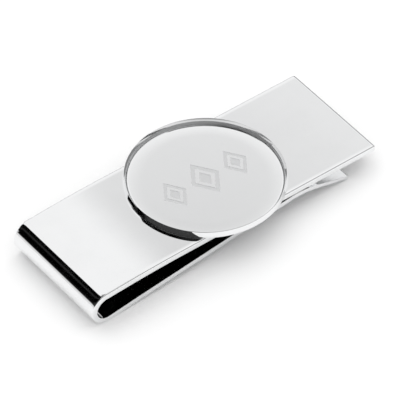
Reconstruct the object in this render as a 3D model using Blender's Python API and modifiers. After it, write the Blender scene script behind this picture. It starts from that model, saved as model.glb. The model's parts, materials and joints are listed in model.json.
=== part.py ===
"""A money clip: one spring strip bent double, with a round rimmed face soldered on its plate.

The strip is drawn lying with its plate level, then the whole clip is tilted onto the two lines
that it stands on: the underside of its bend and the edge of its flared tip.
Plate frame: X from the bend to the open end, Y across, Z up from the plate's top face, with the
origin under the centre of the round face. Everything is in metres.
"""

import math

import bmesh
import bpy

MM = 0.001

# Strip: its width, its thickness and how much its long edges are rounded
STRIP_WIDTH = 19.05 * MM
STRIP_THICKNESS = 0.95 * MM
TIP_THICKNESS = 0.60 * MM
ARRIS_RADIUS = 0.10 * MM

# Plate: from the open end to the bend, level at first and then dipping a little
PLATE_REACH = 24.0 * MM
LEVEL_LENGTH = 36.0 * MM
DIP_LENGTH = 8.0 * MM
DIP_ANGLE = math.radians(3.0)
SHOULDER_LENGTH = 4.95 * MM

# Bend and leg: the leg rises to touch the plate, turns over there and flares down to its tip
BEND_RADIUS = 2.27 * MM
LEG_RISE = math.radians(6.7)
LEG_LENGTH = 33.0 * MM
CREST_RADIUS = 13.0 * MM
FLARE_ANGLE = math.radians(15.5)
FLARE_LENGTH = 6.2 * MM

# The strip is parted at the middle of its bend, where the flex of the spring is a hinge
PARTING_GAP = 0.02 * MM

# Round face: a rim with a round crest, and the flat disc inside it
RIM_RADIUS = 12.0 * MM
RIM_WIDTH = 0.5 * MM
RIM_CREST = 1.02 * MM
RIM_FOOT = 0.06 * MM
FACE_TOP = 0.24 * MM
FACE_FOOT = 0.08 * MM
FACE_CLEARANCE = 0.02 * MM
RIM_STEPS = 96
CREST_STEPS = 8

# Solder between the plate and the round face
SOLDER_RADIUS = 8.8 * MM
SOLDER_FOOT = 0.02 * MM
SOLDER_TOP = 0.06 * MM
SOLDER_STEPS = 48

# Engraved ornament: a large lozenge between two small ones, each a frame around a filled centre
LOZENGE_HALF_HEIGHTS = (2.6 * MM, 3.2 * MM, 2.6 * MM)
LOZENGE_SPACING = 5.1 * MM
LOZENGE_SLENDERNESS = 0.68
LOZENGE_FRAME_SHARE = 0.74
LOZENGE_CENTRE_SHARE = 0.42
ENGRAVING_DEPTH = 0.06 * MM
CUTTER_ABOVE = 0.2 * MM

BEND_STEP = math.radians(6)
SHALLOW_STEP = math.radians(1.2)

STEEL_COLOUR = (0.82, 0.83, 0.84, 1.0)
STEEL_ROUGHNESS = 0.06
FACE_COLOUR = (0.84, 0.85, 0.86, 1.0)
FACE_ROUGHNESS = 0.08
SOLDER_COLOUR = (0.58, 0.58, 0.57, 1.0)
SOLDER_ROUGHNESS = 0.4

MERGE_DISTANCE = 1e-7
SHARP_ANGLE = math.radians(30)
EMPTY_SIZE = 4 * MM


def clear_scene():
    for obj in list(bpy.data.objects):
        bpy.data.objects.remove(obj, do_unlink=True)


def new_collection(name, hidden=False):
    collection = bpy.data.collections.new(name)
    collection.hide_render = hidden
    bpy.context.scene.collection.children.link(collection)
    return collection


def metal(name, colour, roughness):
    """An opaque metal material."""
    material = bpy.data.materials.new(name)
    material.use_nodes = True
    shader = material.node_tree.nodes["Principled BSDF"]
    shader.inputs["Base Color"].default_value = colour
    shader.inputs["Metallic"].default_value = 1.0
    shader.inputs["Roughness"].default_value = roughness
    return material


class Walk:
    """Stations along the strip's middle line, each (x, z, heading, distance walked)."""

    def __init__(self, x, z, heading):
        self.x = x
        self.z = z
        self.heading = heading
        self.distance = 0.0
        self.stations = [(x, z, heading, 0.0)]

    def straight(self, length):
        self.x += length * math.cos(self.heading)
        self.z += length * math.sin(self.heading)
        self.distance += length
        self.stations.append((self.x, self.z, self.heading, self.distance))

    def turn(self, radius, angle, step):
        """An arc of this radius. A positive angle turns left, seen from the front of the clip."""
        count = math.ceil(abs(angle) / step)
        side = math.copysign(radius, angle)
        centre_x = self.x - side * math.sin(self.heading)
        centre_z = self.z + side * math.cos(self.heading)
        for _ in range(count):
            self.heading += angle / count
            self.x = centre_x + side * math.sin(self.heading)
            self.z = centre_z - side * math.cos(self.heading)
            self.distance += radius * abs(angle) / count
            self.stations.append((self.x, self.z, self.heading, self.distance))


def plate_walk():
    """From the plate's open end to the middle of the bend, where the strip heads straight down."""
    walk = Walk(PLATE_REACH, -STRIP_THICKNESS / 2, math.pi)
    walk.straight(LEVEL_LENGTH)
    walk.turn(DIP_LENGTH / DIP_ANGLE, DIP_ANGLE, SHALLOW_STEP)
    walk.straight(SHOULDER_LENGTH)
    walk.turn(BEND_RADIUS, 1.5 * math.pi - walk.heading, BEND_STEP)
    return walk


def leg_walk():
    """From the middle of the bend to the tip."""
    start = plate_walk()
    walk = Walk(start.x, start.z, start.heading - 2 * math.pi)
    walk.turn(BEND_RADIUS, LEG_RISE - walk.heading, BEND_STEP)
    walk.straight(LEG_LENGTH)
    walk.turn(CREST_RADIUS, -(LEG_RISE + FLARE_ANGLE), 2 * SHALLOW_STEP)
    walk.straight(FLARE_LENGTH)
    return walk


def outline(stations, thickness_at):
    """The strip's side outline: the stations moved half a thickness to each side."""
    left = []
    right = []
    for x, z, heading, distance in stations:
        half = thickness_at(distance) / 2
        aside_x = -half * math.sin(heading)
        aside_z = half * math.cos(heading)
        left.append((x + aside_x, z + aside_z))
        right.append((x - aside_x, z - aside_z))
    return left + right[::-1]


def plate_outline():
    """The last station stops short of the parting line."""
    stations = plate_walk().stations
    x, z, heading, distance = stations[-1]
    stations[-1] = (x, z + PARTING_GAP / 2, heading, distance)
    return outline(stations, lambda distance: STRIP_THICKNESS)


def leg_outline():
    """The leg grows thinner from where it touches the plate to its tip."""
    stations = leg_walk().stations
    x, z, heading, distance = stations[0]
    stations[0] = (x, z - PARTING_GAP / 2, heading, distance)
    tip = stations[-1][3]
    contact = tip - FLARE_LENGTH - CREST_RADIUS * (LEG_RISE + FLARE_ANGLE)

    def thickness_at(distance):
        share = max(0.0, (distance - contact) / (tip - contact))
        return STRIP_THICKNESS + share * (TIP_THICKNESS - STRIP_THICKNESS)

    return outline(stations, thickness_at)


def flex_axis():
    """The hinge line (x, z): on the bend's outer surface, halfway round it."""
    x, z, _, _ = leg_walk().stations[0]
    return x - STRIP_THICKNESS / 2, z


def stance():
    """The clip's tilt about Y, and the place (x, z) of the plate frame's origin once it stands.

    The strip stands on its tip and on the point of the bend that makes the steepest line to it.
    """
    points = leg_outline() + plate_outline()
    tip_x, tip_z = min((p for p in leg_outline() if p[0] > 0), key=lambda p: p[1])
    tilt = max(math.atan2(tip_z - z, tip_x - x) for x, z in points if x < 0)
    xs = [x * math.cos(tilt) + z * math.sin(tilt) for x, z in points]
    zs = [z * math.cos(tilt) - x * math.sin(tilt) for x, z in points]
    return tilt, -(max(xs) + min(xs)) / 2, -min(zs)


def strip_piece(name, points, parent, material, collection):
    """A length of strip: its side outline, extruded across the clip with rounded long edges."""
    curve = bpy.data.curves.new(name, "CURVE")
    curve.dimensions = "2D"
    curve.fill_mode = "BOTH"
    curve.extrude = STRIP_WIDTH / 2 - ARRIS_RADIUS
    curve.bevel_depth = ARRIS_RADIUS
    curve.bevel_resolution = 1
    curve.offset = -ARRIS_RADIUS
    spline = curve.splines.new("POLY")
    spline.points.add(len(points) - 1)
    for point, (x, z) in zip(spline.points, points):
        point.co = (x - parent["plate_x"], z - parent["plate_z"], 0.0, 1.0)
    spline.use_cyclic_u = True
    curve.materials.append(material)
    piece = bpy.data.objects.new(name, curve)
    piece.rotation_euler = (math.pi / 2, 0.0, 0.0)
    piece.parent = parent
    collection.objects.link(piece)
    return piece


def add_empty(name, parent, plate_x, plate_z, collection):
    """An empty at a place in the plate frame, which it remembers for the pieces under it."""
    empty = bpy.data.objects.new(name, None)
    empty.empty_display_size = EMPTY_SIZE
    empty["plate_x"] = plate_x
    empty["plate_z"] = plate_z
    if parent:
        empty.parent = parent
        empty.location = (plate_x - parent["plate_x"], 0.0, plate_z - parent["plate_z"])
    collection.objects.link(empty)
    return empty


def add_clip_frame(collection):
    """The plate frame, tilted onto the surface that the clip stands on."""
    tilt, x, z = stance()
    frame = add_empty("clip_frame", None, 0.0, 0.0, collection)
    frame.rotation_euler = (0.0, tilt, 0.0)
    frame.location = (x, 0.0, z)
    return frame


def add_bezel_ring(frame, material, collection):
    """The rim: a straight outer wall, a round crest and a straight inner wall, turned."""
    crest_radius = RIM_WIDTH / 2
    middle = RIM_RADIUS - crest_radius
    spring_line = RIM_CREST - crest_radius
    profile = []
    for step in range(CREST_STEPS + 1):
        angle = math.pi * step / CREST_STEPS
        x = middle - crest_radius * math.cos(angle)
        z = spring_line + crest_radius * math.sin(angle)
        profile.append((x, z))
    profile.append((RIM_RADIUS, RIM_FOOT))
    profile.append((RIM_RADIUS - RIM_WIDTH, RIM_FOOT))
    mesh = bpy.data.meshes.new("bezel_ring")
    edges = [(i, (i + 1) % len(profile)) for i in range(len(profile))]
    mesh.from_pydata([(x, 0.0, z) for x, z in profile], edges, [])
    mesh.materials.append(material)
    ring = bpy.data.objects.new("bezel_ring", mesh)
    ring.parent = frame
    collection.objects.link(ring)
    screw = ring.modifiers.new("turned", "SCREW")
    screw.axis = "Z"
    screw.steps = RIM_STEPS
    screw.render_steps = RIM_STEPS
    screw.use_merge_vertices = True
    screw.merge_threshold = MERGE_DISTANCE
    screw.use_smooth_shade = True
    return ring


def add_disc(name, radius, foot, top, steps, parent, material, collection):
    """A flat round disc from one height to another."""
    mesh = bpy.data.meshes.new(name)
    shape = bmesh.new()
    bmesh.ops.create_cone(
        shape,
        cap_ends=True,
        segments=steps,
        radius1=radius,
        radius2=radius,
        depth=top - foot,
    )
    shape.to_mesh(mesh)
    shape.free()
    mesh.shade_smooth()
    mesh.set_sharp_from_angle(angle=SHARP_ANGLE)
    mesh.materials.append(material)
    disc = bpy.data.objects.new(name, mesh)
    disc.location.z = (top + foot) / 2
    disc.parent = parent
    collection.objects.link(disc)
    return disc


def lozenge(half_height, share):
    """The corners of a lozenge that stands across the clip, scaled about its centre by share."""
    across = half_height * share
    along = across * LOZENGE_SLENDERNESS
    return [(along, 0.0), (0.0, across), (-along, 0.0), (0.0, -across)]


def add_lozenge_cutter(index, half_height, frame, cutters):
    """A cutter for one ornament: a lozenge frame and the small lozenge inside it."""
    curve = bpy.data.curves.new(f"lozenge_{index}", "CURVE")
    curve.dimensions = "2D"
    curve.fill_mode = "BOTH"
    curve.extrude = (ENGRAVING_DEPTH + CUTTER_ABOVE) / 2
    for share in (1.0, LOZENGE_FRAME_SHARE, LOZENGE_CENTRE_SHARE):
        spline = curve.splines.new("POLY")
        corners = lozenge(half_height, share)
        spline.points.add(len(corners) - 1)
        for point, (x, y) in zip(spline.points, corners):
            point.co = (x, y, 0.0, 1.0)
        spline.use_cyclic_u = True
    outline_object = bpy.data.objects.new(f"lozenge_outline_{index}", curve)
    outline_object.location.x = LOZENGE_SPACING * (index - 1)
    outline_object.location.z = FACE_TOP + (CUTTER_ABOVE - ENGRAVING_DEPTH) / 2
    outline_object.parent = frame
    cutters.objects.link(outline_object)
    bpy.context.view_layer.update()
    graph = bpy.context.evaluated_depsgraph_get()
    mesh = bpy.data.meshes.new_from_object(outline_object.evaluated_get(graph))
    shape = bmesh.new()
    shape.from_mesh(mesh)
    bmesh.ops.remove_doubles(shape, verts=shape.verts, dist=MERGE_DISTANCE)
    shape.to_mesh(mesh)
    shape.free()
    cutter = bpy.data.objects.new(f"lozenge_cutter_{index}", mesh)
    cutter.matrix_world = outline_object.matrix_world
    cutter.hide_render = True
    cutter.display_type = "WIRE"
    cutters.objects.link(cutter)
    bpy.data.objects.remove(outline_object, do_unlink=True)
    return cutter


def engrave(disc, frame, cutters):
    """Cuts the row of lozenges into the disc's upper side."""
    for index, half_height in enumerate(LOZENGE_HALF_HEIGHTS):
        cut = disc.modifiers.new(f"lozenge {index}", "BOOLEAN")
        cut.operation = "DIFFERENCE"
        cut.solver = "EXACT"
        cut.object = add_lozenge_cutter(index, half_height, frame, cutters)


def main():
    clear_scene()
    parts = new_collection("money_clip")
    cutters = new_collection("cutters", hidden=True)
    steel = metal("polished_steel", STEEL_COLOUR, STEEL_ROUGHNESS)
    face_steel = metal("face_steel", FACE_COLOUR, FACE_ROUGHNESS)
    solder = metal("solder", SOLDER_COLOUR, SOLDER_ROUGHNESS)

    frame = add_clip_frame(parts)
    flex = add_empty("flex_axis", frame, *flex_axis(), parts)
    strip_piece("top_plate", plate_outline(), frame, steel, parts)
    strip_piece("spring_leg", leg_outline(), flex, steel, parts)
    add_bezel_ring(frame, steel, parts)
    face_radius = RIM_RADIUS - RIM_WIDTH - FACE_CLEARANCE
    face = add_disc(
        "face_disc", face_radius, FACE_FOOT, FACE_TOP, RIM_STEPS, frame, face_steel, parts
    )
    engrave(face, frame, cutters)
    add_disc(
        "solder_layer", SOLDER_RADIUS, SOLDER_FOOT, SOLDER_TOP, SOLDER_STEPS, frame, solder, parts
    )


main()
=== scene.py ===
"""The looks of a mirror-polished money clip: a bent spring strip with an engraved disc on it.

Everything is in metres. Most shapes are drawn in the plate frame, where X runs from the bend to
the open end, Y across the clip and Z up from the plate's top face, with the origin under the
disc's centre. PLATE takes them to where the clip stands.
"""

import json
import math

import bmesh
import bpy
from mathutils import Matrix, Vector


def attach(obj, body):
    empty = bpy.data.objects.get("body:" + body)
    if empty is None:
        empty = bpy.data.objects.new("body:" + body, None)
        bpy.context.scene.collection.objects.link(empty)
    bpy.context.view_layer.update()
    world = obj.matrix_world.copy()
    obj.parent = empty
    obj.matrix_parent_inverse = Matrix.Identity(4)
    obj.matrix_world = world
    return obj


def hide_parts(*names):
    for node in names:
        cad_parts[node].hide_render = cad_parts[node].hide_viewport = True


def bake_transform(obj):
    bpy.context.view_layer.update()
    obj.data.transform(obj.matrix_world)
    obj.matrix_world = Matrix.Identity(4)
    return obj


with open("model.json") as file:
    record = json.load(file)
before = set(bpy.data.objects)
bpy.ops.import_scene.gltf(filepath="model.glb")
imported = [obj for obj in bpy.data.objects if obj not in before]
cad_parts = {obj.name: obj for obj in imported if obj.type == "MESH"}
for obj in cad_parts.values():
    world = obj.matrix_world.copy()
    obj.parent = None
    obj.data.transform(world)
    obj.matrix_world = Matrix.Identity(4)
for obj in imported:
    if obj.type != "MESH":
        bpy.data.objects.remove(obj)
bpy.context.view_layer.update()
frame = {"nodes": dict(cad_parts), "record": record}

MM = 0.001

# Strip, as the CAD has it
STRIP_WIDTH = 19.05 * MM
STRIP_THICKNESS = 0.95 * MM
TIP_THICKNESS = 0.60 * MM
PLATE_REACH = 24.0 * MM
LEVEL_LENGTH = 36.0 * MM
DIP_LENGTH = 8.0 * MM
DIP_ANGLE = math.radians(3.0)
SHOULDER_LENGTH = 4.95 * MM
BEND_RADIUS = 2.27 * MM
LEG_RISE = math.radians(6.7)
LEG_LENGTH = 33.0 * MM
CREST_RADIUS = 13.0 * MM
FLARE_ANGLE = math.radians(15.5)
FLARE_LENGTH = 6.2 * MM

# Stations along each stretch of the strip
LEVEL_STEPS = 24
DIP_STEPS = 16
SHOULDER_STEPS = 5
BEND_STEPS = 96
LEG_STEPS = 24
CREST_STEPS = 24
FLARE_STEPS = 6

# The strip's thickness where rolling and bending have changed it, on its inner side
PLATE_THICKNESS = 1.06 * MM
BEND_FOOT_THICKNESS = 0.80 * MM
LEG_THICKNESS = 0.87 * MM
LEG_THINNING_LENGTH = 6.0 * MM

# How polishing has softened the strip: its edges, its corners and the faces near its edges. A
# pillow is the width and the depth of a face's gentle fall beside its edge, and the last of its
# stations lies past it, so that the flat face beyond is shaded flat.
OUTER_ARRIS_SHARE = 0.20
INNER_ARRIS_SHARE = 0.08
ARRIS_STEPS = 9
END_ARRIS = 0.12 * MM
SIDE_PILLOW = (0.6 * MM, 0.016 * MM)
END_PILLOW = (0.32 * MM, 0.095 * MM)
PLATE_CORNER = 0.12 * MM
TIP_CORNER = 0.25 * MM
PILLOW_STATIONS = (0.15, 0.3, 0.5, 0.75, 1.0, 1.2)
STRIP_SHARP = math.radians(60)

# Disc. The rim is a satin wall inside, a steep bevel up to its crest, a narrow chamfer, and
# outside it a wall that leans in.
RIM_RADIUS = 12.0 * MM
RIM_CREST = 1.02 * MM
RIM_CREST_RADIUS = 11.82 * MM
RIM_CHAMFER_FOOT = 0.97 * MM
RIM_CHAMFER_RADIUS = 11.86 * MM
RIM_BEVEL_FOOT = 0.62 * MM
RIM_BEVEL_RADIUS = 11.64 * MM
RIM_INNER_RADIUS = 11.46 * MM
RIM_FOOT = 0.03 * MM
RIM_EDGE = 0.03 * MM
RIM_LEAN_START = 0.20 * MM
RIM_STEPS = 256
RIM_FILLET_STEPS = 12
RIM_SHARP = math.radians(50)
FACE_TOP = 0.24 * MM
FACE_FOOT = 0.04 * MM
FACE_CLEARANCE = 0.01 * MM
FACE_RADIUS = RIM_INNER_RADIUS - FACE_CLEARANCE
FACE_FLAT_RADIUS = 9.0 * MM
FACE_EDGE_DROP = 0.03 * MM
FACE_ARRIS = 0.15 * MM
FACE_FLAT_MARGIN = 0.2 * MM
FACE_FALL_STEPS = 16
FACE_ARRIS_ANGLES = range(0, 81, 10)
FACE_SHARP = math.radians(25)

# Engraved ornament
LOZENGE_HALF_HEIGHTS = (2.9 * MM, 3.6 * MM, 2.9 * MM)
LOZENGE_SPACING = 5.5 * MM
LOZENGE_SLENDERNESS = 0.68
LOZENGE_FRAME_SHARE = 0.70
LOZENGE_CENTRE_SHARE = 0.42
ENGRAVING_DEPTH = 0.02 * MM
MERGE_DISTANCE = 0.0001 * MM

# Finishes
STEEL_COLOUR = (0.88, 0.885, 0.89)
STEEL_ROUGHNESS = 0.04
FACE_ROUGHNESS = 0.05
FACE_SCRATCH_ANGLE = math.radians(30)
SATIN_COLOUR = (0.7, 0.705, 0.71)
ENGRAVING_COLOUR = (0.77, 0.775, 0.78)
SOLDER_COLOUR = (0.55, 0.55, 0.54)

# Camera, in the plate frame
CAMERA_AZIMUTH = math.radians(-37.57)
CAMERA_ELEVATION = math.radians(44.76)
CAMERA_DISTANCE = 698.3 * MM
CAMERA_ASIDE = -0.764 * MM
CAMERA_RISE = -2.980 * MM
CAMERA_LENS = 433.4

FLOOR_SIZE = 3.0

# Studio: brightness, and directions in degrees of azimuth (from +X towards +Y) and elevation.
# A pair for the edge of a light is where it is dark and where it has reached its full strength.
DOME_WHITE = 0.85
KEY_WHITE = 1.7
KEY_DIRECTION = (60.0, 75.0)
KEY_SPREAD = (0.6, 1.0)
STUDIO_WHITE = 1.01
SOFTNESS = 4.0
BOX_FOOT = (24.0, 30.0)
BOX_TOP = 58.0
BOX_AZIMUTHS = (-30.0, 106.5)
BOX_SIDE_SOFTNESS = 2.0
PATCH_DIRECTION = (52.4, 45.9)
PATCH_RADIUS = math.radians(5.2)
PATCH_SHARE = 0.76
RIGHT_SIDE = -38.0
RIGHT_SIDE_EDGE = (-0.05, 0.02)
STRIP_LIGHT_ELEVATIONS = (50.0, 68.0)
STUDIO_DIM = 0.26
SHADE_DIRECTION = (170.0, 30.0)
SHADE_RADIUS = (math.radians(60.0), math.radians(53.0))
SHADE_WHITE = 0.05
NEAR_SIDE = -150.0
NEAR_SIDE_EDGE = (0.35, 0.55)
SEAM_AZIMUTHS = (129.0, 133.0)
SEAM_SOFTNESS = 3.0
SEAM_GLOW = 0.018
TABLE_WHITE = 0.80
TABLE_TOP = (11.0, 5.0)
UNDER_BOX = (15.0, 75.0)
UNDER_BOX_SOFTNESS = 10.0

# Panels on the table, each (first azimuth, last azimuth, dark above, white below)
PANELS = ((100.0, 128.0, 28.0, 22.0), (100.0, 138.0, 19.0, 15.0))
PANEL_SOFTNESS = 3.0


def plate_frame():
    """The plate frame's matrix, from the flat face that the record gives for the disc."""
    mount = next(m for m in frame["record"]["mounts"] if m["name"] == "face_recess")
    normal = Vector(mount["axis"])
    turn = Matrix.Rotation(math.atan2(normal.x, normal.z), 4, "Y")
    on_face = Vector(mount["pos_m"])
    origin = on_face - turn @ Vector((0.0, on_face.y, FACE_TOP))
    return Matrix.Translation(origin) @ turn


PLATE = plate_frame()


# ---------------------------------------------------------------- nodes


class Nodes:
    """Short ways to add and join shader nodes."""

    def __init__(self, tree):
        self.tree = tree
        tree.nodes.clear()

    def add(self, kind, inputs=None, **settings):
        node = self.tree.nodes.new(kind)
        for name, value in settings.items():
            setattr(node, name, value)
        for name, value in (inputs or {}).items():
            self.feed(node.inputs[name], value)
        return node

    def feed(self, socket, value):
        if isinstance(value, bpy.types.NodeSocket):
            self.tree.links.new(value, socket)
        else:
            socket.default_value = value

    def math(self, operation, first, second=0.0, clamp=False):
        node = self.add("ShaderNodeMath", operation=operation, use_clamp=clamp)
        self.feed(node.inputs[0], first)
        self.feed(node.inputs[1], second)
        return node.outputs[0]

    def ramp(self, value, low, high, out_low=0.0, out_high=1.0):
        """value from low to high, eased from out_low to out_high and held outside them."""
        node = self.add(
            "ShaderNodeMapRange",
            {
                "Value": value,
                "From Min": low,
                "From Max": high,
                "To Min": out_low,
                "To Max": out_high,
            },
            interpolation_type="SMOOTHSTEP",
        )
        return node.outputs["Result"]

    def blend(self, share, first, second):
        """first where share is 0, second where it is 1."""
        node = self.add("ShaderNodeMix", data_type="FLOAT")
        self.feed(node.inputs[0], share)
        self.feed(node.inputs[2], first)
        self.feed(node.inputs[3], second)
        return node.outputs[0]

    def noise(self, coordinates, scale, detail=2.0, roughness=0.5):
        node = self.add(
            "ShaderNodeTexNoise",
            {"Vector": coordinates, "Scale": scale, "Detail": detail, "Roughness": roughness},
        )
        return node.outputs["Fac"]


def new_material(name):
    material = bpy.data.materials.new(name)
    material.use_nodes = True
    return material, Nodes(material.node_tree)


def polished_metal(name, colour, roughness, scratch_angle=0.0):
    """Mirror-polished metal: hairline scratches, faint handling haze and a hint of waviness."""
    material, nodes = new_material(name)
    place = nodes.add("ShaderNodeTexCoord").outputs["Object"]
    haze = nodes.noise(place, 240.0, 3.0)
    along = nodes.add(
        "ShaderNodeMapping",
        {"Vector": place, "Rotation": (0.0, 0.0, scratch_angle), "Scale": (1.0, 28.0, 28.0)},
    ).outputs[0]
    scratches = nodes.noise(along, 420.0, 4.0, 0.7)
    lines = nodes.ramp(scratches, 0.60, 0.74)
    smooth = nodes.ramp(haze, 0.35, 0.75, roughness * 0.7, roughness * 1.5)
    rough = nodes.math("ADD", smooth, nodes.math("MULTIPLY", lines, roughness * 0.8))
    wave = nodes.noise(place, 90.0, 1.0)
    height = nodes.math("ADD", nodes.math("MULTIPLY", wave, 0.5), scratches)
    bump = nodes.add(
        "ShaderNodeBump", {"Strength": 0.012, "Distance": 0.00002, "Height": height}
    )
    tint = nodes.add("ShaderNodeMix", data_type="RGBA")
    nodes.feed(tint.inputs[0], nodes.ramp(haze, 0.3, 0.8, 0.0, 1.0))
    nodes.feed(tint.inputs[6], (*colour, 1.0))
    nodes.feed(tint.inputs[7], (*[c * 0.975 for c in colour], 1.0))
    shader = nodes.add(
        "ShaderNodeBsdfPrincipled",
        {
            "Base Color": tint.outputs[2],
            "Metallic": 1.0,
            "Roughness": rough,
            "Normal": bump.outputs[0],
        },
    )
    output = nodes.add("ShaderNodeOutputMaterial")
    nodes.feed(output.inputs[0], shader.outputs[0])
    return material


def frosted_metal(name, colour, roughness, grain):
    """Metal with a fine matt grain, as an engraver's tool or a blasting nozzle leaves it."""
    material, nodes = new_material(name)
    place = nodes.add("ShaderNodeTexCoord").outputs["Object"]
    speckle = nodes.noise(place, grain, 3.0, 0.6)
    rough = nodes.ramp(speckle, 0.3, 0.7, roughness * 0.85, roughness * 1.15)
    bump = nodes.add(
        "ShaderNodeBump", {"Strength": 0.3, "Distance": 0.000008, "Height": speckle}
    )
    tint = nodes.add("ShaderNodeMix", data_type="RGBA")
    nodes.feed(tint.inputs[0], nodes.ramp(speckle, 0.35, 0.65))
    nodes.feed(tint.inputs[6], (*[c * 0.93 for c in colour], 1.0))
    nodes.feed(tint.inputs[7], (*colour, 1.0))
    shader = nodes.add(
        "ShaderNodeBsdfPrincipled",
        {
            "Base Color": tint.outputs[2],
            "Metallic": 1.0,
            "Roughness": rough,
            "Normal": bump.outputs[0],
        },
    )
    output = nodes.add("ShaderNodeOutputMaterial")
    nodes.feed(output.inputs[0], shader.outputs[0])
    return material


def floor_material():
    """A white table top with a barely visible tooth."""
    material, nodes = new_material("white_table")
    place = nodes.add("ShaderNodeTexCoord").outputs["Object"]
    tooth = nodes.noise(place, 900.0, 3.0)
    bump = nodes.add(
        "ShaderNodeBump", {"Strength": 0.05, "Distance": 0.00005, "Height": tooth}
    )
    shader = nodes.add(
        "ShaderNodeBsdfPrincipled",
        {
            "Base Color": (0.95, 0.95, 0.95, 1.0),
            "Roughness": 0.7,
            "Specular IOR Level": 0.2,
            "Normal": bump.outputs[0],
        },
    )
    output = nodes.add("ShaderNodeOutputMaterial")
    nodes.feed(output.inputs[0], shader.outputs[0])
    return material


# ---------------------------------------------------------------- strip


class Walk:
    """Stations along the strip's middle line, each (x, z, heading, distance walked)."""

    def __init__(self, x, z, heading):
        self.x = x
        self.z = z
        self.heading = heading
        self.distance = 0.0
        self.stations = [(x, z, heading, 0.0)]

    def straight(self, length, count):
        for _ in range(count):
            self.x += length / count * math.cos(self.heading)
            self.z += length / count * math.sin(self.heading)
            self.distance += length / count
            self.stations.append((self.x, self.z, self.heading, self.distance))

    def turn(self, radius, angle, count):
        """An arc of this radius. A positive angle turns left, seen from the front of the clip."""
        side = math.copysign(radius, angle)
        centre_x = self.x - side * math.sin(self.heading)
        centre_z = self.z + side * math.cos(self.heading)
        for _ in range(count):
            self.heading += angle / count
            self.x = centre_x + side * math.sin(self.heading)
            self.z = centre_z - side * math.cos(self.heading)
            self.distance += radius * abs(angle) / count
            self.stations.append((self.x, self.z, self.heading, self.distance))


def edge_fall(distance, arris, pillow):
    """How far a polished face has fallen, at this distance from the edge it rounds over to."""
    width, drop = pillow
    slope = math.atan(2 * drop / width)
    arris_width = arris * (1 - math.sin(slope))
    if distance >= arris_width:
        share = max(0.0, 1 - (distance - arris_width) / width)
        return drop * share**2
    sine = 1 - distance / arris
    return drop + arris * (math.cos(slope) - math.sqrt(max(0.0, 1 - sine**2)))


def edge_distances(arris, pillow):
    """Distances from an edge that follow its rounding and the fall of the face beside it."""
    width, drop = pillow
    slope = math.atan(2 * drop / width)
    turn = (math.pi / 2 - slope) / ARRIS_STEPS
    angles = [math.pi / 2 - turn * i for i in range(ARRIS_STEPS + 1)]
    rounded = [arris * (1 - math.sin(angle)) for angle in angles]
    return rounded + [rounded[-1] + width * station for station in PILLOW_STATIONS]


def strip_walk():
    """The whole strip from the plate's open end to the tip, and where its bend starts and ends."""
    walk = Walk(PLATE_REACH, -STRIP_THICKNESS / 2, math.pi)
    from_end = edge_distances(END_ARRIS, END_PILLOW)
    for distance, following in zip(from_end, from_end[1:]):
        walk.straight(following - distance, 1)
    walk.straight(LEVEL_LENGTH - from_end[-1], LEVEL_STEPS)
    walk.turn(DIP_LENGTH / DIP_ANGLE, DIP_ANGLE, DIP_STEPS)
    walk.straight(SHOULDER_LENGTH, SHOULDER_STEPS)
    bend_start = walk.distance
    walk.turn(BEND_RADIUS, 2 * math.pi + LEG_RISE - walk.heading, BEND_STEPS)
    bend_end = walk.distance
    walk.straight(LEG_LENGTH, LEG_STEPS)
    walk.turn(CREST_RADIUS, -(LEG_RISE + FLARE_ANGLE), CREST_STEPS)
    to_tip = from_end[::-1]
    walk.straight(FLARE_LENGTH - to_tip[0], FLARE_STEPS)
    for distance, following in zip(to_tip, to_tip[1:]):
        walk.straight(distance - following, 1)
    return walk.stations, bend_start, bend_end


def rounding(distance, radius):
    """How far a rounded corner of this radius cuts in, at this distance from the end face."""
    if distance >= radius:
        return 0.0
    return radius - math.sqrt(max(0.0, radius**2 - (radius - distance) ** 2))


def smoothly(knots, place):
    """A value that eases from knot to knot, each (place, value)."""
    for (start, first), (end, second) in zip(knots, knots[1:]):
        if place <= end:
            share = max(0.0, (place - start) / (end - start))
            return first + (second - first) * share**2 * (3 - 2 * share)
    return knots[-1][1]


def strip_section(half_width, outer, inner):
    """The strip's outline across, as (y, height) points, between its outer and inner heights."""
    across = []
    back = []
    for share, side in ((OUTER_ARRIS_SHARE, across), (INNER_ARRIS_SHARE, back)):
        arris = share * (outer - inner)
        for distance in edge_distances(arris, SIDE_PILLOW):
            fall = min((outer - inner) / 2, edge_fall(distance, arris, SIDE_PILLOW))
            height = outer - fall if side is across else inner + fall
            side.append((half_width - distance, height))
    right = [(0.0, outer)] + across[::-1] + back + [(0.0, inner)]
    left = [(-y, z) for y, z in right[-2:0:-1]]
    return right + left


def loft(name, rings, materials):
    """A closed tube through rings of points, with a flat cap at each end."""
    mesh = bpy.data.meshes.new(name)
    shape = bmesh.new()
    rows = [[shape.verts.new(point) for point in ring] for ring in rings]
    count = len(rows[0])
    for row, following in zip(rows, rows[1:]):
        for i in range(count):
            j = (i + 1) % count
            shape.faces.new((row[i], row[j], following[j], following[i]))
    shape.faces.new(rows[0][::-1])
    shape.faces.new(rows[-1])
    bmesh.ops.recalc_face_normals(shape, faces=shape.faces)
    shape.to_mesh(mesh)
    shape.free()
    mesh.shade_smooth()
    mesh.set_sharp_from_angle(angle=STRIP_SHARP)
    for material in materials:
        mesh.materials.append(material)
    piece = bpy.data.objects.new(name, mesh)
    bpy.context.scene.collection.objects.link(piece)
    return piece


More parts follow.
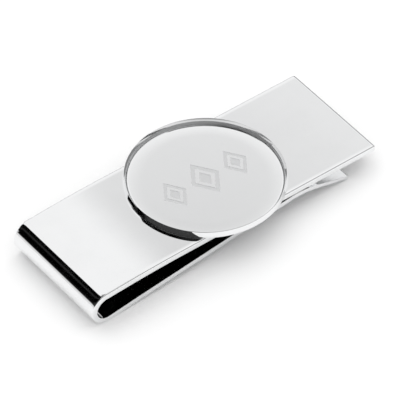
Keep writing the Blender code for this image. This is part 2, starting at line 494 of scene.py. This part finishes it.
def add_strip(material):
    """The whole strip as one piece, which bends between the plate and the leg."""
    stations, bend_start, bend_end = strip_walk()
    length = stations[-1][3]
    contact = length - FLARE_LENGTH - CREST_RADIUS * (LEG_RISE + FLARE_ANGLE)
    thicknesses = [
        (0.0, PLATE_THICKNESS),
        (bend_start, PLATE_THICKNESS),
        (bend_end, BEND_FOOT_THICKNESS),
        (bend_end + LEG_THINNING_LENGTH, LEG_THICKNESS),
        (contact, LEG_THICKNESS),
        (length, TIP_THICKNESS),
    ]
    rings = []
    weights = []
    for x, z, heading, distance in stations:
        at_plate = distance < length / 2
        to_end = distance if at_plate else length - distance
        corner = PLATE_CORNER if at_plate else TIP_CORNER
        thinning = max(0.0, (distance - contact) / (length - contact))
        outer = (STRIP_THICKNESS + thinning * (TIP_THICKNESS - STRIP_THICKNESS)) / 2
        inner = outer - smoothly(thicknesses, distance)
        outer -= edge_fall(to_end, END_ARRIS, END_PILLOW)
        inner += edge_fall(to_end, END_ARRIS, END_PILLOW)
        half_width = STRIP_WIDTH / 2 - rounding(to_end, corner)
        aside = Vector((-math.sin(heading), 0.0, math.cos(heading)))
        centre = Vector((x, 0.0, z))
        section = strip_section(half_width, outer, inner)
        rings.append([centre + Vector((0.0, y, 0.0)) - aside * h for y, h in section])
        share = min(1.0, max(0.0, (distance - bend_start) / (bend_end - bend_start)))
        weights += [share**2 * (3 - 2 * share)] * len(section)
    strip = loft("strip", rings, [material])
    strip.data.transform(PLATE)
    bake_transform(strip)
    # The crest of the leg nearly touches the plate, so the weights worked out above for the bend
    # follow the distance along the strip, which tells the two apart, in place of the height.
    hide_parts("top_plate", "spring_leg")
    return strip


# ---------------------------------------------------------------- disc


def turned(name, profile, steps, materials, closed=True):
    """A profile of (radius, height, material index) turned about Z. Each point's index is for
    the faces that run from it to the next point. A point on the axis becomes a pole."""
    mesh = bpy.data.meshes.new(name)
    shape = bmesh.new()
    rings = []
    for radius, height, _ in profile:
        if radius < 1e-9:
            rings.append([shape.verts.new((0.0, 0.0, height))] * steps)
            continue
        angles = [2 * math.pi * i / steps for i in range(steps)]
        rings.append(
            [shape.verts.new((radius * math.cos(a), radius * math.sin(a), height)) for a in angles]
        )
    pairs = list(zip(rings, rings[1:] + ([rings[0]] if closed else [])))
    for (ring, following), (_, _, index) in zip(pairs, profile):
        for i in range(steps):
            j = (i + 1) % steps
            corners = [ring[i], ring[j], following[j], following[i]]
            face = shape.faces.new(list(dict.fromkeys(corners)))
            face.material_index = index
    bmesh.ops.recalc_face_normals(shape, faces=shape.faces)
    shape.to_mesh(mesh)
    shape.free()
    mesh.shade_smooth()
    for material in materials:
        mesh.materials.append(material)
    piece = bpy.data.objects.new(name, mesh)
    bpy.context.scene.collection.objects.link(piece)
    return piece


def filleted(corners):
    """An outline through corners (radius, height, fillet, material index), each one rounded."""
    outline = []
    for i, (x, z, fillet, index) in enumerate(corners):
        corner = Vector((x, z))
        before = (Vector(corners[i - 1][:2]) - corner).normalized()
        after = (Vector(corners[(i + 1) % len(corners)][:2]) - corner).normalized()
        half = before.angle(after) / 2
        centre = corner + (before + after).normalized() * fillet / math.sin(half)
        start = corner + before * fillet / math.tan(half) - centre
        end = corner + after * fillet / math.tan(half) - centre
        turn = start.angle_signed(end)
        for step in range(RIM_FILLET_STEPS + 1):
            point = centre + Matrix.Rotation(-turn * step / RIM_FILLET_STEPS, 2) @ start
            outline.append((point.x, point.y, index if step == RIM_FILLET_STEPS else 0))
    return outline


def add_rim(polished, satin):
    """The rim: a leaning wall outside, a chamfered crest, a bevel and a satin wall inside."""
    profile = filleted(
        [
            (RIM_RADIUS, RIM_FOOT, RIM_EDGE, 0),
            (RIM_RADIUS, RIM_LEAN_START, 2 * RIM_EDGE, 0),
            (RIM_CHAMFER_RADIUS, RIM_CHAMFER_FOOT, RIM_EDGE / 3, 0),
            (RIM_CREST_RADIUS, RIM_CREST, RIM_EDGE / 3, 0),
            (RIM_BEVEL_RADIUS, RIM_BEVEL_FOOT, RIM_EDGE, 1),
            (RIM_INNER_RADIUS, RIM_FOOT, RIM_EDGE / 4, 0),
        ]
    )
    rim = turned("bezel_rim", profile, RIM_STEPS, [polished, satin])
    rim.data.set_sharp_from_angle(angle=RIM_SHARP)
    rim.data.transform(PLATE)
    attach(rim, "plate")
    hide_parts("bezel_ring")
    return rim


def face_height(radius):
    """The polished face is flat in the middle, falls away near the rim and rounds over at it."""
    share = max(0.0, (radius - FACE_FLAT_RADIUS) / (FACE_RADIUS - FACE_FLAT_RADIUS))
    sine = max(0.0, 1 - (FACE_RADIUS - radius) / FACE_ARRIS)
    return FACE_TOP - FACE_EDGE_DROP * share**2 - FACE_ARRIS * (1 - math.sqrt(1 - sine**2))


def lozenge(half_height, share):
    across = half_height * share
    along = across * LOZENGE_SLENDERNESS
    return [(along, 0.0), (0.0, across), (-along, 0.0), (0.0, -across)]


def lozenge_cutter(index, half_height):
    """A cutter for one ornament: a lozenge frame, and the small lozenge inside it."""
    curve = bpy.data.curves.new("lozenge", "CURVE")
    curve.dimensions = "2D"
    curve.fill_mode = "BOTH"
    curve.extrude = ENGRAVING_DEPTH
    for share in (1.0, LOZENGE_FRAME_SHARE, LOZENGE_CENTRE_SHARE):
        corners = lozenge(half_height, share)
        spline = curve.splines.new("POLY")
        spline.points.add(len(corners) - 1)
        for point, (x, y) in zip(spline.points, corners):
            point.co = (x, y, 0.0, 1.0)
        spline.use_cyclic_u = True
    outline = bpy.data.objects.new("lozenge_outline", curve)
    bpy.context.scene.collection.objects.link(outline)
    bpy.context.view_layer.update()
    graph = bpy.context.evaluated_depsgraph_get()
    mesh = bpy.data.meshes.new_from_object(outline.evaluated_get(graph))
    bpy.data.objects.remove(outline, do_unlink=True)
    shape = bmesh.new()
    shape.from_mesh(mesh)
    bmesh.ops.remove_doubles(shape, verts=shape.verts, dist=MERGE_DISTANCE)
    shape.to_mesh(mesh)
    shape.free()
    mesh.transform(Matrix.Translation((LOZENGE_SPACING * (index - 1), 0.0, FACE_TOP)))
    cutter = bpy.data.objects.new("lozenge_cutter", mesh)
    bpy.context.scene.collection.objects.link(cutter)
    return cutter


def add_face(polished, frosted):
    """The engraved face inside the rim."""
    radii = [FACE_FLAT_RADIUS - FACE_FLAT_MARGIN]
    fall = FACE_RADIUS - FACE_ARRIS - FACE_FLAT_RADIUS
    radii += [FACE_FLAT_RADIUS + fall * i / FACE_FALL_STEPS for i in range(FACE_FALL_STEPS)]
    for angle in FACE_ARRIS_ANGLES:
        radii.append(FACE_RADIUS - FACE_ARRIS * (1 - math.sin(math.radians(angle))))
    profile = [(0.0, FACE_FOOT, 0), (FACE_RADIUS, FACE_FOOT, 0)]
    profile += [(radius, face_height(radius), 0) for radius in radii[::-1]]
    profile.append((0.0, FACE_TOP, 0))
    face = turned("engraved_face", profile, RIM_STEPS, [polished, frosted], closed=False)
    # Half a step round, so that no spoke meets a lozenge's corner and leaves empty faces there.
    face.data.transform(Matrix.Rotation(math.pi / RIM_STEPS, 4, "Z"))
    cutters = []
    for index, half_height in enumerate(LOZENGE_HALF_HEIGHTS):
        cutter = lozenge_cutter(index, half_height)
        cutter.data.materials.append(polished)
        cutter.data.materials.append(frosted)
        for polygon in cutter.data.polygons:
            polygon.material_index = 1
        cut = face.modifiers.new("engraving", "BOOLEAN")
        cut.operation = "DIFFERENCE"
        cut.solver = "EXACT"
        cut.object = cutter
        cutters.append(cutter)
    graph = bpy.context.evaluated_depsgraph_get()
    engraved = bpy.data.meshes.new_from_object(face.evaluated_get(graph))
    face.modifiers.clear()
    face.data = engraved
    for cutter in cutters:
        bpy.data.objects.remove(cutter, do_unlink=True)
    engraved.shade_smooth()
    engraved.set_sharp_from_angle(angle=FACE_SHARP)
    engraved.transform(PLATE)
    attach(face, "plate")
    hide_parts("face_disc")
    return face


# ---------------------------------------------------------------- studio


def add_floor():
    mesh = bpy.data.meshes.new("floor")
    half = FLOOR_SIZE / 2
    corners = [(-half, -half, 0.0), (half, -half, 0.0), (half, half, 0.0), (-half, half, 0.0)]
    mesh.from_pydata(corners, [], [(0, 1, 2, 3)])
    mesh.materials.append(floor_material())
    floor = bpy.data.objects.new("floor", mesh)
    bpy.context.scene.collection.objects.link(floor)


def studio_light():
    """The studio round the table. Polished metal mirrors it by direction, read in the plate's
    frame: a soft box behind the clip, dimmer in one patch, with two panels beside its foot, and
    a strip light high on the right. The room is dim, and nearly black on the left but for one
    faint seam of light. The horizon is a pale rim of table, except under the box. Everything
    else is lit by a plain white dome that is brighter overhead.
    """
    world = bpy.data.worlds.new("studio")
    world.use_nodes = True
    bpy.context.scene.world = world
    nodes = Nodes(world.node_tree)
    generated = nodes.add("ShaderNodeTexCoord").outputs["Generated"]
    turn = PLATE.to_3x3().inverted().to_euler()
    direction = nodes.add(
        "ShaderNodeMapping", {"Vector": generated, "Rotation": tuple(turn)}, vector_type="POINT"
    ).outputs[0]
    parts = nodes.add("ShaderNodeSeparateXYZ", {"Vector": direction})
    x, y, z = parts.outputs
    degrees = 180 / math.pi
    elevation = nodes.math("MULTIPLY", nodes.math("ARCSINE", z), degrees)
    azimuth = nodes.math("MULTIPLY", nodes.math("ARCTAN2", y, x), degrees)

    def between(value, low, high, soft):
        """1 between low and high, falling to 0 over soft outside them."""
        rise = nodes.ramp(value, low - soft, low)
        fall = nodes.ramp(value, high, high + soft, 1.0, 0.0)
        return nodes.math("MULTIPLY", rise, fall)

    def towards(azimuth_angle, elevation_angle):
        """How far each direction leans towards this one: 1 along it, 0 square to it."""
        flat = math.cos(math.radians(elevation_angle))
        aim = (
            flat * math.cos(math.radians(azimuth_angle)),
            flat * math.sin(math.radians(azimuth_angle)),
            math.sin(math.radians(elevation_angle)),
        )
        dot = nodes.add("ShaderNodeVectorMath", operation="DOT_PRODUCT")
        nodes.feed(dot.inputs[0], direction)
        nodes.feed(dot.inputs[1], aim)
        return dot.outputs["Value"]

    over_foot = nodes.ramp(elevation, *BOX_FOOT)
    box = nodes.math(
        "MULTIPLY",
        between(azimuth, *BOX_AZIMUTHS, BOX_SIDE_SOFTNESS),
        nodes.ramp(elevation, BOX_TOP, BOX_TOP + SOFTNESS, 1.0, 0.0),
    )
    box = nodes.math("MULTIPLY", box, over_foot)
    right_side = nodes.ramp(towards(RIGHT_SIDE, 0.0), *RIGHT_SIDE_EDGE)
    strip = nodes.math(
        "MULTIPLY", right_side, between(elevation, *STRIP_LIGHT_ELEVATIONS, SOFTNESS)
    )
    off_patch = nodes.math("ARCCOSINE", towards(*PATCH_DIRECTION))
    patch = nodes.ramp(off_patch, 0.0, PATCH_RADIUS, PATCH_SHARE, 1.0)
    light = nodes.math("MULTIPLY", nodes.math("MAXIMUM", box, strip), patch)
    light = nodes.math("MULTIPLY", light, STUDIO_WHITE)
    off_shade = nodes.math("ARCCOSINE", towards(*SHADE_DIRECTION))
    shaded = nodes.ramp(off_shade, *SHADE_RADIUS)
    shade = nodes.ramp(towards(NEAR_SIDE, 0.0), *NEAR_SIDE_EDGE, 0.0, SHADE_WHITE)
    dim = nodes.blend(shaded, STUDIO_DIM, shade)
    seam = nodes.math("MULTIPLY", between(azimuth, *SEAM_AZIMUTHS, SEAM_SOFTNESS), SEAM_GLOW)
    under_box = between(azimuth, *UNDER_BOX, UNDER_BOX_SOFTNESS)
    open_sides = nodes.math("SUBTRACT", 1.0, under_box)
    table = nodes.math("MULTIPLY", nodes.ramp(elevation, *TABLE_TOP), open_sides)
    for start, end, dark_above, white_below in PANELS:
        panel = nodes.math(
            "MULTIPLY",
            between(azimuth, start, end, PANEL_SOFTNESS),
            nodes.ramp(elevation, dark_above, white_below),
        )
        table = nodes.math("MAXIMUM", table, panel)
    table = nodes.math("MULTIPLY", table, TABLE_WHITE)
    for part in (dim, seam, table):
        light = nodes.math("MAXIMUM", light, part)
    key = nodes.ramp(towards(*KEY_DIRECTION), *KEY_SPREAD, DOME_WHITE, KEY_WHITE)
    mirrored = nodes.add("ShaderNodeLightPath").outputs["Is Glossy Ray"]
    background = nodes.add(
        "ShaderNodeBackground",
        {"Color": (1.0, 1.0, 1.0, 1.0), "Strength": nodes.blend(mirrored, key, light)},
    )
    output = nodes.add("ShaderNodeOutputWorld")
    nodes.feed(output.inputs[0], background.outputs[0])


def add_camera():
    data = bpy.data.cameras.new("camera")
    data.lens = CAMERA_LENS
    data.sensor_width = 36.0
    data.clip_start = 0.01
    data.clip_end = 20.0
    camera = bpy.data.objects.new("camera", data)
    back = Vector(
        (
            math.sin(CAMERA_AZIMUTH) * math.cos(CAMERA_ELEVATION),
            -math.cos(CAMERA_AZIMUTH) * math.cos(CAMERA_ELEVATION),
            math.sin(CAMERA_ELEVATION),
        )
    )
    right = Vector((math.cos(CAMERA_AZIMUTH), math.sin(CAMERA_AZIMUTH), 0.0))
    up = back.cross(right)
    place = CAMERA_ASIDE * right + CAMERA_RISE * up + CAMERA_DISTANCE * back
    pose = Matrix((right, up, back)).transposed().to_4x4()
    camera.matrix_world = PLATE @ Matrix.Translation(place) @ pose
    bpy.context.scene.collection.objects.link(camera)
    bpy.context.scene.camera = camera


def main():
    steel = polished_metal("polished_strip", STEEL_COLOUR, STEEL_ROUGHNESS)
    bezel = polished_metal("polished_bezel", STEEL_COLOUR, STEEL_ROUGHNESS)
    face = polished_metal("polished_face", STEEL_COLOUR, FACE_ROUGHNESS, FACE_SCRATCH_ANGLE)
    satin = frosted_metal("satin_wall", SATIN_COLOUR, roughness=0.5, grain=5000.0)
    frosted = frosted_metal("frosted_engraving", ENGRAVING_COLOUR, roughness=0.45, grain=9000.0)
    solder = frosted_metal("soft_solder", SOLDER_COLOUR, roughness=0.5, grain=3000.0)

    add_camera()
    add_floor()
    studio_light()
    add_strip(steel)
    add_rim(bezel, satin)
    add_face(face, frosted)
    layer = frame["nodes"]["solder_layer"]
    layer.data.materials.clear()
    layer.data.materials.append(solder)
    bpy.context.scene.view_settings.view_transform = "Standard"


main()
